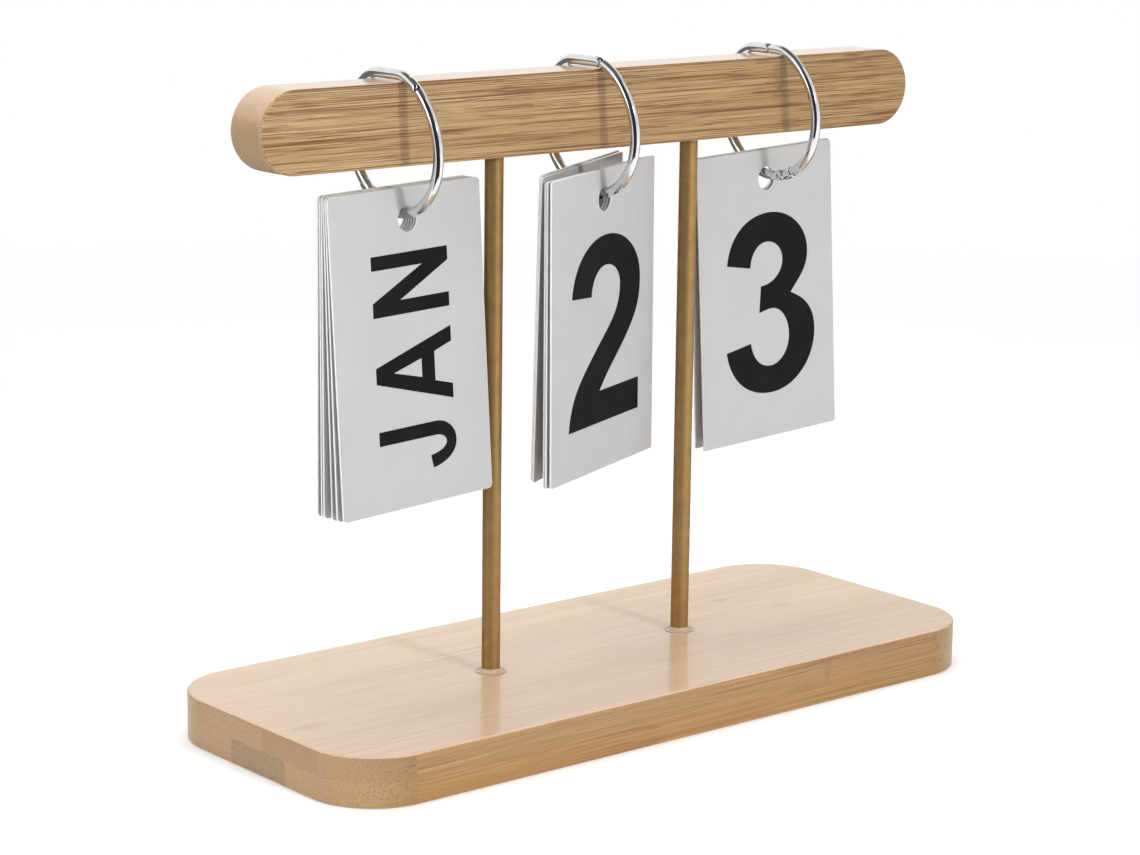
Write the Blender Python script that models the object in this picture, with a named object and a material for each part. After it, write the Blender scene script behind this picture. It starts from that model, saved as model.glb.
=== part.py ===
"""Perpetual desk calendar: a bamboo stand with three hinged rings and their packs of cards.

Metres, +Z up, +X along the stand, the cards facing -Y.
The origin is the centre of the base board's underside.
"""
import math

import bmesh
import bpy
from mathutils import Vector

# Base board
BASE_LENGTH = 0.2000
BASE_DEPTH = 0.0811
BASE_THICKNESS = 0.0121
BASE_CORNER_RADIUS = 0.0175
BOARD_EDGE_RADIUS = 0.0006

# Crossbar, a board on edge with fully round ends
BAR_LENGTH = 0.2018
BAR_HEIGHT = 0.0193
BAR_DEPTH = 0.0119
BAR_ABOVE_BASE = 0.1265

# Rods, let into blind sockets in both boards
ROD_RADIUS = 0.00225
ROD_SOCKET_DEPTH = 0.0060
ROD_CHAMFER = 0.0003
JOINT_GAP = 0.0003

# Beads of clear glue round the rods: how far each reaches out, how tall it is, its thin rim
FOOT_GLUE_REACH = 0.0016
FOOT_GLUE_HEIGHT = 0.0014
HEAD_GLUE_REACH = 0.0009
HEAD_GLUE_HEIGHT = 0.0008
GLUE_RIM = 0.0002

# Cards
CARD_WIDTH = 0.0482
CARD_HEIGHT = 0.0747
CARD_THICKNESS = 0.0005
CARD_GAP = 0.00045
CARD_CORNER_RADIUS = 0.0012
CARD_HOLE_RADIUS = 0.0030
CARD_HOLE_INSET = 0.0074
CARD_HOLE_SHIFT = 0.0004
CARD_BELOW_BAR = 0.0058

# Room between the rods and the packs of cards
MIDDLE_PACK_ROOM = 0.00435
LEFT_PACK_ROOM = 0.0030
RIGHT_PACK_ROOM = 0.0009
MIDDLE_RING_SHIFT = -0.0014

# Ring wire: round, with its top pressed nearly flat where it lies on the crossbar, and how far from
# its corners the flat eases into the round
WIRE_RADIUS = 0.001225
RING_REST_GAP = 0.0001
RING_TOP_GAP = 0.0003
RING_EASE = 0.0006

# Ring hinge: a swollen knuckle slotted for a thin tongue, a pin through both, and a collar of the
# same size where the tongue meets its wire
KNUCKLE_SWELL = 0.0002
KNUCKLE_LENGTH = 0.0017
KNUCKLE_CARD_GAP = 0.0003
COLLAR_LENGTH = 0.0026
STEP_LENGTH = 0.0003
TONGUE_RADIUS = 0.0012
TONGUE_THICKNESS = 0.0008
PIN_RADIUS = 0.0005
PIN_INSET = 0.0001
PIN_CHAMFER = 0.0001

# Ring closure: both ends halved into a lap with domed tips
LAP_LENGTH = 0.0044
LAP_TIP_LENGTH = 0.0012
SHOULDER_LENGTH = 0.0002

# How far a cutter overruns its cut, and the distance below which bmesh points are one
CUT_OVERRUN = 0.0010
MERGE_DISTANCE = 0.000001

# Angles in degrees, the last one the step that finds which way the wire runs
RING_LEAN = 6.0
BEVEL_ANGLE = 60.0
SMOOTH_ANGLE = 35.0
PROBE_ANGLE = 0.1

# Facets
CORNER_STEPS = 7
CARD_CORNER_STEPS = 3
BAR_END_STEPS = 24
BEVEL_STEPS = 2
ROD_SIDES = 28
GLUE_SIDES = 24
GLUE_STEPS = 4
HOLE_SIDES = 24
WIRE_SIDES = 14
WIRE_STEPS = 28
LAP_STEPS = 3
PIN_SIDES = 16
TIP_STEPS = 4

# How far a domed end goes towards its point, and where the first facet of a round section lies
DOME_REACH_SHARE = 0.94
HALF_SIDE_SHARE = 0.5

# Each pack, from its front card to its rear one. The front card's angle round the wire, turn and
# lean are in degrees, and so is each card's roll. Behind each card, the gap to the next one is in
# shares of CARD_GAP, and the change of lean and turn in shares of what the gap leaves room for.
# The corners are in shares of CARD_CORNER_RADIUS.
PACKS = {
    "month": {
        "ring": "left",
        "corner_share": 1.0,
        "front": (8.0, 7.0, 3.1),
        "rolls": (0.9, 0.6, 1.1, 0.5, 0.9, 0.7),
        "gap_shares": (1.0, 1.0, 1.0, 1.0, 1.0),
        "lean_shares": (0.54, 0.80, 0.64, 0.32, 0.22),
        "turn_shares": (0.30, 0.25, 0.20, 0.45, 0.35),
    },
    "middle": {
        "ring": "middle",
        "corner_share": 0.55,
        "front": (11.6, 18.9, -0.7),
        "rolls": (2.0, 1.7, 1.9, 1.3, 1.2),
        "gap_shares": (1.6, 1.0, 11.4, 1.0),
        "lean_shares": (0.06, 0.06, 0.50, 0.0),
        "turn_shares": (-0.20, 0.40, 7.90, 0.85),
    },
    "right": {
        "ring": "right",
        "corner_share": 0.35,
        "front": (-8.6, 2.2, 1.6),
        "rolls": (2.1, 2.4),
        "gap_shares": (1.9,),
        "lean_shares": (0.90,),
        "turn_shares": (-1.20,),
    },
}
LEAN_CLOSE_SHARE = 0.48
TURN_CLOSE_SHARE = 0.85

# Each ring: where its hinge and its closure are round the wire, in degrees from the lowest point
# towards the front, and whether the half that stays with the cards goes forwards (1) or backwards
# (-1) from the hinge
RINGS = {
    "left": {"hinge": -34.0, "closure": 146.0, "way": 1},
    "middle": {"hinge": -26.0, "closure": 165.0, "way": 1},
    "right": {"hinge": 11.0, "closure": -179.0, "way": -1},
}

# Colour as red, green and blue, then roughness and metallic value
FINISHES = {
    "bamboo_base": ((0.76, 0.60, 0.42), 0.42, 0.0),
    "bamboo_bar": ((0.55, 0.36, 0.18), 0.48, 0.0),
    "brass": ((0.45, 0.28, 0.07), 0.32, 1.0),
    "nickel": ((0.72, 0.72, 0.73), 0.14, 1.0),
    "pin_steel": ((0.60, 0.60, 0.61), 0.30, 1.0),
    "card": ((0.62, 0.62, 0.62), 0.80, 0.0),
    "glue": ((0.80, 0.70, 0.55), 0.15, 0.0),
}

# Heights and places worked out from the sizes above
LEAN = math.radians(RING_LEAN)
BAR_BOTTOM = BASE_THICKNESS + BAR_ABOVE_BASE
BAR_TOP = BAR_BOTTOM + BAR_HEIGHT
ROD_PLACE = CARD_WIDTH / 2 + MIDDLE_PACK_ROOM + ROD_RADIUS
SIDE_PACK_PLACE = ROD_PLACE + ROD_RADIUS + CARD_WIDTH / 2
RING_PLACES = {
    "left": -SIDE_PACK_PLACE - LEFT_PACK_ROOM,
    "middle": MIDDLE_RING_SHIFT,
    "right": SIDE_PACK_PLACE + RIGHT_PACK_ROOM,
}
SOCKET_RADIUS = ROD_RADIUS + JOINT_GAP
KNUCKLE_RADIUS = WIRE_RADIUS + KNUCKLE_SWELL
HANG_GAP = KNUCKLE_SWELL + KNUCKLE_CARD_GAP

# A ring rests on the bar's two rounded top edges, and the cards hang from it below the bar. What
# they need under the centres of those edges' rounding, HANG, gives the ring's inner radius.
HALF_BAR_DEPTH = BAR_DEPTH / 2
HANGING_DEPTH = BAR_HEIGHT + CARD_BELOW_BAR + HANG_GAP + CARD_HOLE_INSET - CARD_HOLE_RADIUS
EDGE = BOARD_EDGE_RADIUS
EDGE_PLACE = HALF_BAR_DEPTH - EDGE
HANG = HANGING_DEPTH - EDGE
RING_INNER_RADIUS = (HANG ** 2 + EDGE_PLACE ** 2 - EDGE ** 2) / (HANG - EDGE) / 2
RING_RADIUS = RING_INNER_RADIUS + WIRE_RADIUS
CENTRE_DROP = HANGING_DEPTH - RING_INNER_RADIUS
WIRE_RISE = WIRE_RADIUS * math.sin(LEAN)
RING_HEIGHT = BAR_TOP + RING_REST_GAP + WIRE_RISE - CENTRE_DROP * math.cos(LEAN)
RING_TOP_HEIGHT = (BAR_TOP + RING_TOP_GAP + WIRE_RADIUS - RING_HEIGHT) / math.cos(LEAN)
HOLE_ORBIT = RING_RADIUS - WIRE_RADIUS - HANG_GAP + CARD_HOLE_RADIUS


def clear_scene():
    for item in list(bpy.data.objects):
        bpy.data.objects.remove(item)


def material(finish):
    """Return the Principled material of a finish, made once."""
    found = bpy.data.materials.get(finish)
    if found:
        return found
    colour, roughness, metallic = FINISHES[finish]
    made = bpy.data.materials.new(finish)
    made.use_nodes = True
    shader = made.node_tree.nodes["Principled BSDF"]
    shader.inputs["Base Color"].default_value = (*colour, 1.0)
    shader.inputs["Roughness"].default_value = roughness
    shader.inputs["Metallic"].default_value = metallic
    return made


def place(item, parent):
    bpy.context.scene.collection.objects.link(item)
    item.parent = parent


def add_empty(name, location, parent=None):
    item = bpy.data.objects.new(name, None)
    item.location = location
    place(item, parent)
    return item


def mesh_from(name, body, smooth=False):
    """Turn a bmesh into a mesh with its faces pointing out."""
    bmesh.ops.recalc_face_normals(body, faces=body.faces)
    mesh = bpy.data.meshes.new(name)
    body.to_mesh(mesh)
    body.free()
    if smooth:
        mesh.shade_smooth()
        mesh.set_sharp_from_angle(angle=math.radians(SMOOTH_ANGLE))
    return mesh


def add_piece(name, mesh, finish, location=(0, 0, 0), parent=None):
    """Add a named piece with a material of its own."""
    item = bpy.data.objects.new(name, mesh)
    item.location = location
    item.data.materials.clear()
    item.data.materials.append(material(finish))
    place(item, parent)
    return item


def round_edges(item, width):
    bevel = item.modifiers.new("rounded_edges", "BEVEL")
    bevel.width = width
    bevel.segments = BEVEL_STEPS
    bevel.limit_method = "ANGLE"
    bevel.angle_limit = math.radians(BEVEL_ANGLE)


def cut(item, cutter):
    """Take a cutter out of a piece, and leave the cutter out of the model."""
    cutter.hide_render = True
    cutter.display_type = "WIRE"
    trim = item.modifiers.new(cutter.name, "BOOLEAN")
    trim.operation = "DIFFERENCE"
    trim.solver = "EXACT"
    trim.object = cutter


def turned(name, profile, sides, closed=False, smooth=True):
    """Revolve a profile of (radius, height) pairs about Z."""
    body = bmesh.new()
    points = [body.verts.new((radius, 0, height)) for radius, height in profile]
    edges = [body.edges.new(pair) for pair in zip(points, points[1:])]
    if closed:
        edges.append(body.edges.new((points[-1], points[0])))
    bmesh.ops.spin(
        body,
        geom=points + edges,
        cent=(0, 0, 0),
        axis=(0, 0, 1),
        angle=math.tau,
        steps=sides,
        use_merge=True,
    )
    bmesh.ops.remove_doubles(body, verts=body.verts, dist=MERGE_DISTANCE)
    return mesh_from(name, body, smooth)


def arc(centre, radius, start, end, steps):
    """Points of an arc in a plane, with both its ends. Angles are in degrees."""
    angles = [math.radians(start + (end - start) * step / steps) for step in range(steps + 1)]
    return [
        (centre[0] + radius * math.cos(angle), centre[1] + radius * math.sin(angle))
        for angle in angles
    ]


def rounded_rectangle(left, right, bottom, top, radius, steps):
    corners = (
        (right - radius, top - radius),
        (left + radius, top - radius),
        (left + radius, bottom + radius),
        (right - radius, bottom + radius),
    )
    outline = []
    for turn, centre in enumerate(corners):
        outline += arc(centre, radius, turn * 90, turn * 90 + 90, steps)
    return outline


def extruded(name, outline, start, thickness, upright, hole=None, smooth=False):
    """Extrude a closed outline, along Z, or along Y where it is drawn upright."""
    def point(x, other):
        return (x, start, other) if upright else (x, other, start)

    body = bmesh.new()
    edges = []
    for loop in (outline, hole or []):
        points = [body.verts.new(point(*pair)) for pair in loop]
        edges += [body.edges.new((points[i - 1], points[i])) for i in range(len(points))]
    filled = bmesh.ops.triangle_fill(body, edges=edges, use_beauty=True)
    faces = [item for item in filled["geom"] if isinstance(item, bmesh.types.BMFace)]
    if not hole:
        faces = [bmesh.utils.face_join(faces)]
    swept = bmesh.ops.extrude_face_region(body, geom=faces, use_keep_orig=True)
    moved = [item for item in swept["geom"] if isinstance(item, bmesh.types.BMVert)]
    offset = (0, thickness, 0) if upright else (0, 0, thickness)
    bmesh.ops.translate(body, verts=moved, vec=offset)
    return mesh_from(name, body, smooth)


def socket_cutter(name, x, bottom, top):
    """A cylinder that cuts one rod's blind socket."""
    profile = [(0, bottom), (SOCKET_RADIUS, bottom), (SOCKET_RADIUS, top), (0, top)]
    cutter = bpy.data.objects.new(name, turned(name, profile, ROD_SIDES))
    cutter.location = (x, 0, 0)
    place(cutter, None)
    return cutter


def make_base():
    outline = rounded_rectangle(
        -BASE_LENGTH / 2,
        BASE_LENGTH / 2,
        -BASE_DEPTH / 2,
        BASE_DEPTH / 2,
        BASE_CORNER_RADIUS,
        CORNER_STEPS,
    )
    mesh = extruded("base_board", outline, 0, BASE_THICKNESS, False, smooth=True)
    base = add_piece("base_board", mesh, "bamboo_base")
    round_edges(base, BOARD_EDGE_RADIUS)
    bottom = BASE_THICKNESS - ROD_SOCKET_DEPTH - JOINT_GAP
    for side, x in rod_places():
        cutter = socket_cutter("base_socket_" + side, x, bottom, BASE_THICKNESS + CUT_OVERRUN)
        cut(base, cutter)


def make_bar():
    radius = BAR_HEIGHT / 2
    middle = BAR_BOTTOM + radius
    reach = BAR_LENGTH / 2 - radius
    outline = arc((reach, middle), radius, -90, 90, BAR_END_STEPS)
    outline += arc((-reach, middle), radius, 90, 270, BAR_END_STEPS)
    mesh = extruded("crossbar", outline, -HALF_BAR_DEPTH, BAR_DEPTH, True, smooth=True)
    bar = add_piece("crossbar", mesh, "bamboo_bar")
    round_edges(bar, BOARD_EDGE_RADIUS)
    top = BAR_BOTTOM + ROD_SOCKET_DEPTH + JOINT_GAP
    for side, x in rod_places():
        cutter = socket_cutter("bar_socket_" + side, x, BAR_BOTTOM - CUT_OVERRUN, top)
        cut(bar, cutter)


def rod_places():
    return (("left", -ROD_PLACE), ("right", ROD_PLACE))


def make_rods():
    """Two rods, each let into the base and the bar by the depth of a socket."""
    bottom = BASE_THICKNESS - ROD_SOCKET_DEPTH
    top = BAR_BOTTOM + ROD_SOCKET_DEPTH
    profile = [
        (0, bottom),
        (ROD_RADIUS - ROD_CHAMFER, bottom),
        (ROD_RADIUS, bottom + ROD_CHAMFER),
        (ROD_RADIUS, top - ROD_CHAMFER),
        (ROD_RADIUS - ROD_CHAMFER, top),
        (0, top),
    ]
    for side, x in rod_places():
        mesh = turned("rod_" + side, profile, ROD_SIDES)
        add_piece("rod_" + side, mesh, "brass", (x, 0, 0))


def glue_profile(reach, height):
    """A bead's section: flat where it meets the board, hollow where it climbs the rod."""
    inner = ROD_RADIUS + JOINT_GAP
    outer = ROD_RADIUS + reach
    profile = [(inner, 0), (outer, 0)]
    for step in range(GLUE_STEPS + 1):
        angle = math.pi / 2 * step / GLUE_STEPS
        radius = outer - (outer - inner) * math.sin(angle)
        profile.append((radius, GLUE_RIM + (height - GLUE_RIM) * (1 - math.cos(angle))))
    return profile


def make_glue():
    foot = glue_profile(FOOT_GLUE_REACH, FOOT_GLUE_HEIGHT)
    head = [(radius, -height) for radius, height in glue_profile(HEAD_GLUE_REACH, HEAD_GLUE_HEIGHT)]
    beads = (("foot", foot, BASE_THICKNESS + JOINT_GAP), ("head", head, BAR_BOTTOM - JOINT_GAP))
    for end, profile, height in beads:
        for side, x in rod_places():
            name = end + "_glue_" + side
            mesh = turned(name, profile, GLUE_SIDES, closed=True)
            add_piece(name, mesh, "glue", (x, 0, height))


def wire_line(angle):
    """A point of the wire's centreline: a circle, pressed down to RING_TOP_HEIGHT at its top."""
    reach = RING_RADIUS
    upward = -math.cos(angle)
    if upward > 0:
        flat = RING_TOP_HEIGHT / upward
        ease = max(RING_EASE - abs(flat - RING_RADIUS), 0)
        reach = min(flat, RING_RADIUS) - ease ** 2 / RING_EASE / 4
    return Vector((0, -reach * math.sin(angle), -reach * math.cos(angle)))


def wire_point(angle, across, outward):
    """A point near the wire: its angle from the lowest point, and its offsets from the centreline."""
    probe = math.radians(PROBE_ANGLE)
    along = (wire_line(angle + probe) - wire_line(angle - probe)).normalized()
    return wire_line(angle) + Vector((across, -along.z * outward, along.y * outward))


def section(travel, size, low, high, height_share=1.0):
    """One station of a ring half: a round section cut off square at low and high."""
    return {"travel": travel, "size": size, "low": low, "high": high, "height_share": height_share}


def dome(start, length, reach_share):
    """How a rounded end narrows: pairs of distance past its start and share of its height."""
    pairs = []
    for step in range(1, TIP_STEPS + 1):
        share = reach_share * step / TIP_STEPS
        pairs.append((start + length * share, math.sqrt(1 - share ** 2)))
    return pairs


def closure_sections(side, middle):
    """The lapped end: a shoulder, the wire halved on one side and its domed tip."""
    low, high = sorted((side * JOINT_GAP / 2, side * WIRE_RADIUS))
    shoulder = middle - LAP_LENGTH / 2
    tip = middle + LAP_LENGTH / 2 - JOINT_GAP - LAP_TIP_LENGTH
    made = [section(shoulder - SHOULDER_LENGTH, WIRE_RADIUS, -WIRE_RADIUS, WIRE_RADIUS)]
    for step in range(LAP_STEPS + 1):
        travel = shoulder + (tip - shoulder) * step / LAP_STEPS
        made.append(section(travel, WIRE_RADIUS, low, high))
    for travel, share in dome(tip, LAP_TIP_LENGTH, DOME_REACH_SHARE):
        made.append(section(travel, WIRE_RADIUS, low, high, share))
    return made


def wire_sections(start, end):
    """The plain round wire between two distances from the hinge."""
    step = (end - start) / WIRE_STEPS
    return [
        section(start + step * index, WIRE_RADIUS, -WIRE_RADIUS, WIRE_RADIUS)
        for index in range(WIRE_STEPS)
    ]


def swept_half(name, sections, hinge, way, origin):
    """Skin a ring half through its stations, from the hinge round to the closure."""
    body = bmesh.new()
    loops = []
    for station in sections:
        angle = hinge + way * station["travel"] / RING_RADIUS
        loop = []
        for side in range(WIRE_SIDES):
            turn = math.tau * (side + HALF_SIDE_SHARE) / WIRE_SIDES
            across = station["size"] * math.cos(turn)
            across = min(max(across, station["low"]), station["high"])
            outward = station["size"] * station["height_share"] * math.sin(turn)
            loop.append(body.verts.new(wire_point(angle, across, outward) - origin))
        loops.append(loop)
    for near, far in zip(loops, loops[1:]):
        for side in range(WIRE_SIDES):
            body.faces.new((near[side - 1], near[side], far[side], far[side - 1]))
    body.faces.new(loops[0])
    body.faces.new(loops[-1])
    return mesh_from(name, body, smooth=True)


def hinge_cutters(name, hinge, way, frame, slotted):
    """The pin's hole, and for the knuckle the slot that its tongue turns in."""
    centre = wire_point(hinge, 0, 0)
    reach = KNUCKLE_RADIUS + CUT_OVERRUN
    hole_radius = PIN_RADIUS + JOINT_GAP
    profile = [(0, -reach), (hole_radius, -reach), (hole_radius, reach), (0, reach)]
    hole = bpy.data.objects.new(name + "_pin_hole", turned(name + "_pin_hole", profile, PIN_SIDES))
    hole.location = centre
    hole.rotation_euler = (0, math.pi / 2, 0)
    place(hole, frame)
    if not slotted:
        return [hole]
    half_width = TONGUE_THICKNESS / 2 + JOINT_GAP
    floor = TONGUE_RADIUS + JOINT_GAP
    outline = [
        (-half_width, -reach),
        (half_width, -reach),
        (half_width, floor),
        (-half_width, floor),
    ]
    mesh = extruded(name + "_slot", outline, -reach, reach * 2, False)
    slot = bpy.data.objects.new(name + "_slot", mesh)
    slot.location = centre
    slot.rotation_euler = (math.atan2(way * math.sin(hinge), -way * math.cos(hinge)), 0, 0)
    place(slot, frame)
    return [hole, slot]


def make_ring(side):
    """A ring: the half that carries the cards, the half that opens, and the pin that joins them."""
    hinge = math.radians(RINGS[side]["hinge"])
    way = RINGS[side]["way"]
    frame = add_empty("ring_" + side + "_centre", (RING_PLACES[side], 0, RING_HEIGHT))
    leaning = add_empty("ring_" + side + "_plane", (0, 0, 0), frame)
    leaning.rotation_euler = (0, -LEAN, 0)

    knuckle = []
    for travel, share in reversed(dome(0, KNUCKLE_RADIUS, DOME_REACH_SHARE)):
        knuckle.append(section(-travel, KNUCKLE_RADIUS, -KNUCKLE_RADIUS, KNUCKLE_RADIUS, share))
    for travel in (0, KNUCKLE_LENGTH):
        knuckle.append(section(travel, KNUCKLE_RADIUS, -KNUCKLE_RADIUS, KNUCKLE_RADIUS))
    turn = math.radians(way * (RINGS[side]["closure"] - RINGS[side]["hinge"]))
    closure = closure_sections(way, turn * RING_RADIUS)
    wire = wire_sections(KNUCKLE_LENGTH + STEP_LENGTH, closure[0]["travel"])
    name = "ring_" + side + "_fixed_half"
    mesh = swept_half(name, knuckle + wire + closure, hinge, way, Vector())
    fixed = add_piece(name, mesh, "nickel", parent=leaning)
    for cutter in hinge_cutters(name, hinge, way, leaning, True):
        cut(fixed, cutter)

    flat = TONGUE_THICKNESS / 2
    tongue = []
    for travel, share in reversed(dome(0, TONGUE_RADIUS, DOME_REACH_SHARE)):
        tongue.append(section(-travel, TONGUE_RADIUS, -flat, flat, share))
    neck = KNUCKLE_RADIUS + JOINT_GAP
    for travel in (0, neck):
        tongue.append(section(travel, TONGUE_RADIUS, -flat, flat))
    for travel in (neck + SHOULDER_LENGTH, neck + COLLAR_LENGTH):
        tongue.append(section(travel, KNUCKLE_RADIUS, -KNUCKLE_RADIUS, KNUCKLE_RADIUS))
    closure = closure_sections(-way, (math.tau - turn) * RING_RADIUS)
    wire = wire_sections(neck + COLLAR_LENGTH + STEP_LENGTH, closure[0]["travel"])
    name = "ring_" + side + "_opening_half"
    pin_place = wire_point(hinge, 0, 0)
    mesh = swept_half(name, tongue + wire + closure, hinge, -way, pin_place)
    opening = add_piece(name, mesh, "nickel", pin_place, leaning)
    for cutter in hinge_cutters(name, hinge, way, leaning, False):
        cut(opening, cutter)

    reach = KNUCKLE_RADIUS - PIN_INSET
    profile = [
        (0, -reach),
        (PIN_RADIUS - PIN_CHAMFER, -reach),
        (PIN_RADIUS, PIN_CHAMFER - reach),
        (PIN_RADIUS, reach - PIN_CHAMFER),
        (PIN_RADIUS - PIN_CHAMFER, reach),
        (0, reach),
    ]
    name = "ring_" + side + "_pin"
    pin = add_piece(name, turned(name, profile, PIN_SIDES), "pin_steel", pin_place, leaning)
    pin.rotation_euler = (0, math.pi / 2, 0)
    return frame


def card_mesh(name, corner_radius):
    """A card with its origin at the middle of its hole."""
    outline = rounded_rectangle(
        -CARD_WIDTH / 2 - CARD_HOLE_SHIFT,
        CARD_WIDTH / 2 - CARD_HOLE_SHIFT,
        CARD_HOLE_INSET - CARD_HEIGHT,
        CARD_HOLE_INSET,
        corner_radius,
        CARD_CORNER_STEPS,
    )
    hole = arc((0, 0), CARD_HOLE_RADIUS, 0, 360, HOLE_SIDES)[:-1]
    return extruded(name, outline, -CARD_THICKNESS / 2, CARD_THICKNESS, True, hole=hole)


def fan(pack):
    """Each card's angle round the wire, turn and lean, in radians, from front to rear."""
    angle, turn, lean = (math.radians(value) for value in pack["front"])
    poses = [(angle, turn, lean)]
    steps = zip(pack["gap_shares"], pack["lean_shares"], pack["turn_shares"])
    for gap_share, lean_share, turn_share in steps:
        spacing = (CARD_THICKNESS + CARD_GAP * gap_share) / math.cos(turn)
        angle -= spacing / HOLE_ORBIT
        lean -= math.asin(lean_share * LEAN_CLOSE_SHARE * CARD_GAP / CARD_HOLE_INSET)
        turn += math.asin(turn_share * TURN_CLOSE_SHARE * CARD_GAP / (CARD_WIDTH / 2))
        poses.append((angle, turn, lean))
    return poses


def make_pack(name, pack, frame):
    """Hang a pack on its ring. Its front half lifts forwards and its rear half backwards, each
    card carrying those outside it, so the pivots at the ring's centre are nested that way."""
    poses = fan(pack)
    count = len(poses)
    split = (count + 1) // 2
    mesh = card_mesh(name + "_card", CARD_CORNER_RADIUS * pack["corner_share"])
    inner_first = list(range(split - 1, -1, -1)), list(range(split, count))
    for branch in inner_first:
        pivot = frame
        for index in branch:
            angle, turn, lean = poses[index]
            title = name + "_card_" + str(index + 1)
            pivot = add_empty(title + "_pivot", (0, 0, 0), pivot)
            card = add_piece(title, mesh, "card", parent=pivot)
            upward = HOLE_ORBIT * math.cos(angle)
            card.location = (
                upward * math.sin(LEAN),
                -HOLE_ORBIT * math.sin(angle),
                -upward * math.cos(LEAN),
            )
            card.rotation_mode = "YXZ"
            card.rotation_euler = (-lean, -math.radians(pack["rolls"][index]), turn)


def main():
    clear_scene()
    make_base()
    make_bar()
    make_rods()
    make_glue()
    frames = {side: make_ring(side) for side in RINGS}
    for name, pack in PACKS.items():
        make_pack(name, pack, frames[pack["ring"]])
    bpy.context.view_layer.update()


main()
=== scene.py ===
from math import acos, atan2, cos, hypot, pi, radians, sin, tau

import bmesh
import bpy
from mathutils import Matrix, Vector


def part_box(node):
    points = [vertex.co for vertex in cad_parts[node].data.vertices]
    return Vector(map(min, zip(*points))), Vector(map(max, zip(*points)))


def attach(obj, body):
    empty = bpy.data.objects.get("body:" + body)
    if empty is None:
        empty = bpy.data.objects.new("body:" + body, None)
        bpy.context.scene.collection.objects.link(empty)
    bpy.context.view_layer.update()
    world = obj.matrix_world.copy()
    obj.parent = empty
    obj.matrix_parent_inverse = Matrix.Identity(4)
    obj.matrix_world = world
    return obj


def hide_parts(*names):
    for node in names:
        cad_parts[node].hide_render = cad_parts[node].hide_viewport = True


# Sizes in metres, as in the CAD source: +Z up, +X along the stand, the cards facing -Y
BASE_LENGTH = 0.2000
BASE_DEPTH = 0.0811
BASE_THICKNESS = 0.0121
BASE_CORNER_RADIUS = 0.0175
BOARD_EDGE_RADIUS = 0.0006
BAR_LENGTH = 0.2018
BAR_HEIGHT = 0.0193
BAR_DEPTH = 0.0119
BAR_BOTTOM = 0.1386
ROD_RADIUS = 0.00225
ROD_SOCKET_DEPTH = 0.0060
ROD_CHAMFER = 0.0003
ROD_PLACES = {"left": -0.0307, "right": 0.0307}
JOINT_GAP = 0.0003
FOOT_GLUE_REACH = 0.0016
FOOT_GLUE_HEIGHT = 0.0014
HEAD_GLUE_REACH = 0.0009
HEAD_GLUE_HEIGHT = 0.0008
GLUE_RIM = 0.0002
CARD_WIDTH = 0.0482
CARD_HEIGHT = 0.0747
CARD_THICKNESS = 0.0005
CARD_CORNER_RADIUS = 0.0012
CARD_HOLE_RADIUS = 0.0030
CARD_HOLE_INSET = 0.0074
CARD_HOLE_SHIFT = 0.0004
CARD_EDGE = 0.00006
WIRE_RADIUS = 0.001225
KNUCKLE_SWELL = 0.0002
KNUCKLE_LENGTH = 0.0017
COLLAR_LENGTH = 0.0026
STEP_LENGTH = 0.0003
TONGUE_RADIUS = 0.0012
TONGUE_THICKNESS = 0.0008
PIN_RADIUS = 0.0005
PIN_INSET = 0.0001
PIN_CHAMFER = 0.0001
LAP_LENGTH = 0.0044
LAP_TIP_LENGTH = 0.0012
SHOULDER_LENGTH = 0.0002
RING_RADIUS = 0.0167219
RING_TOP_HEIGHT = 0.0158072
RING_EASE = 0.0006
RING_LEAN = radians(6.0)
PROBE_ANGLE = radians(0.1)
KNUCKLE_RADIUS = WIRE_RADIUS + KNUCKLE_SWELL
CUT_REACH = KNUCKLE_RADIUS + 0.0010
MERGE_DISTANCE = 0.0000005
INK_THICKNESS = 0.00002
MM_PER_M = 1000

# Each ring: the angles of its hinge and its closure in degrees, and which way its fixed half goes
RINGS = {
    "left": {"hinge": -34.0, "closure": 146.0, "way": 1},
    "middle": {"hinge": -26.0, "closure": 165.0, "way": 1},
    "right": {"hinge": 11.0, "closure": -179.0, "way": -1},
}

# How round each pack's cards are at their corners, in shares of CARD_CORNER_RADIUS
CORNER_SHARES = {"month": 1.0, "middle": 0.55, "right": 0.35}

# What is printed on the front and the back of each card, from the front card to the rear one
PRINTS = {
    "month": (("JAN", "FEB"), ("MAR", "APR"), ("MAY", "JUN"),
              ("JUL", "AUG"), ("SEP", "OCT"), ("NOV", "DEC")),
    "middle": (("2", "3"), ("4", "5"), ("6", "7"), ("8", "9"), ("0", "1")),
    "right": (("3", "2"), ("1", "0")),
}

# Steps of the finer meshes
CORNER_STEPS = 28
BAR_END_STEPS = 72
BEVEL_STEPS = 3
ROUND_SIDES = 72
WIRE_SIDES = 40
WIRE_STEPS = 110
LAP_STEPS = 8
TIP_STEPS = 8
NARROW_STEPS = 6
GLUE_STEPS = 12
CARD_CORNER_STEPS = 10
CURVE_STEPS = 14

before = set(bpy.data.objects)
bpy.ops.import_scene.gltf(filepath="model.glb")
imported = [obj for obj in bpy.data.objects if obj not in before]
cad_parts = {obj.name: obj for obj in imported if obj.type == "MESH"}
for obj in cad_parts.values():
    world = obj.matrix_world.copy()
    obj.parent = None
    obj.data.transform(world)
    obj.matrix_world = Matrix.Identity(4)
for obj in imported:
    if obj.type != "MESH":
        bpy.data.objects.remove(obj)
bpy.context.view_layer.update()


# Node trees

# Where a noise mostly stays
NOISE_SPAN = (0.3, 0.7)
WHITE = (1.0, 1.0, 1.0, 1.0)


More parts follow.
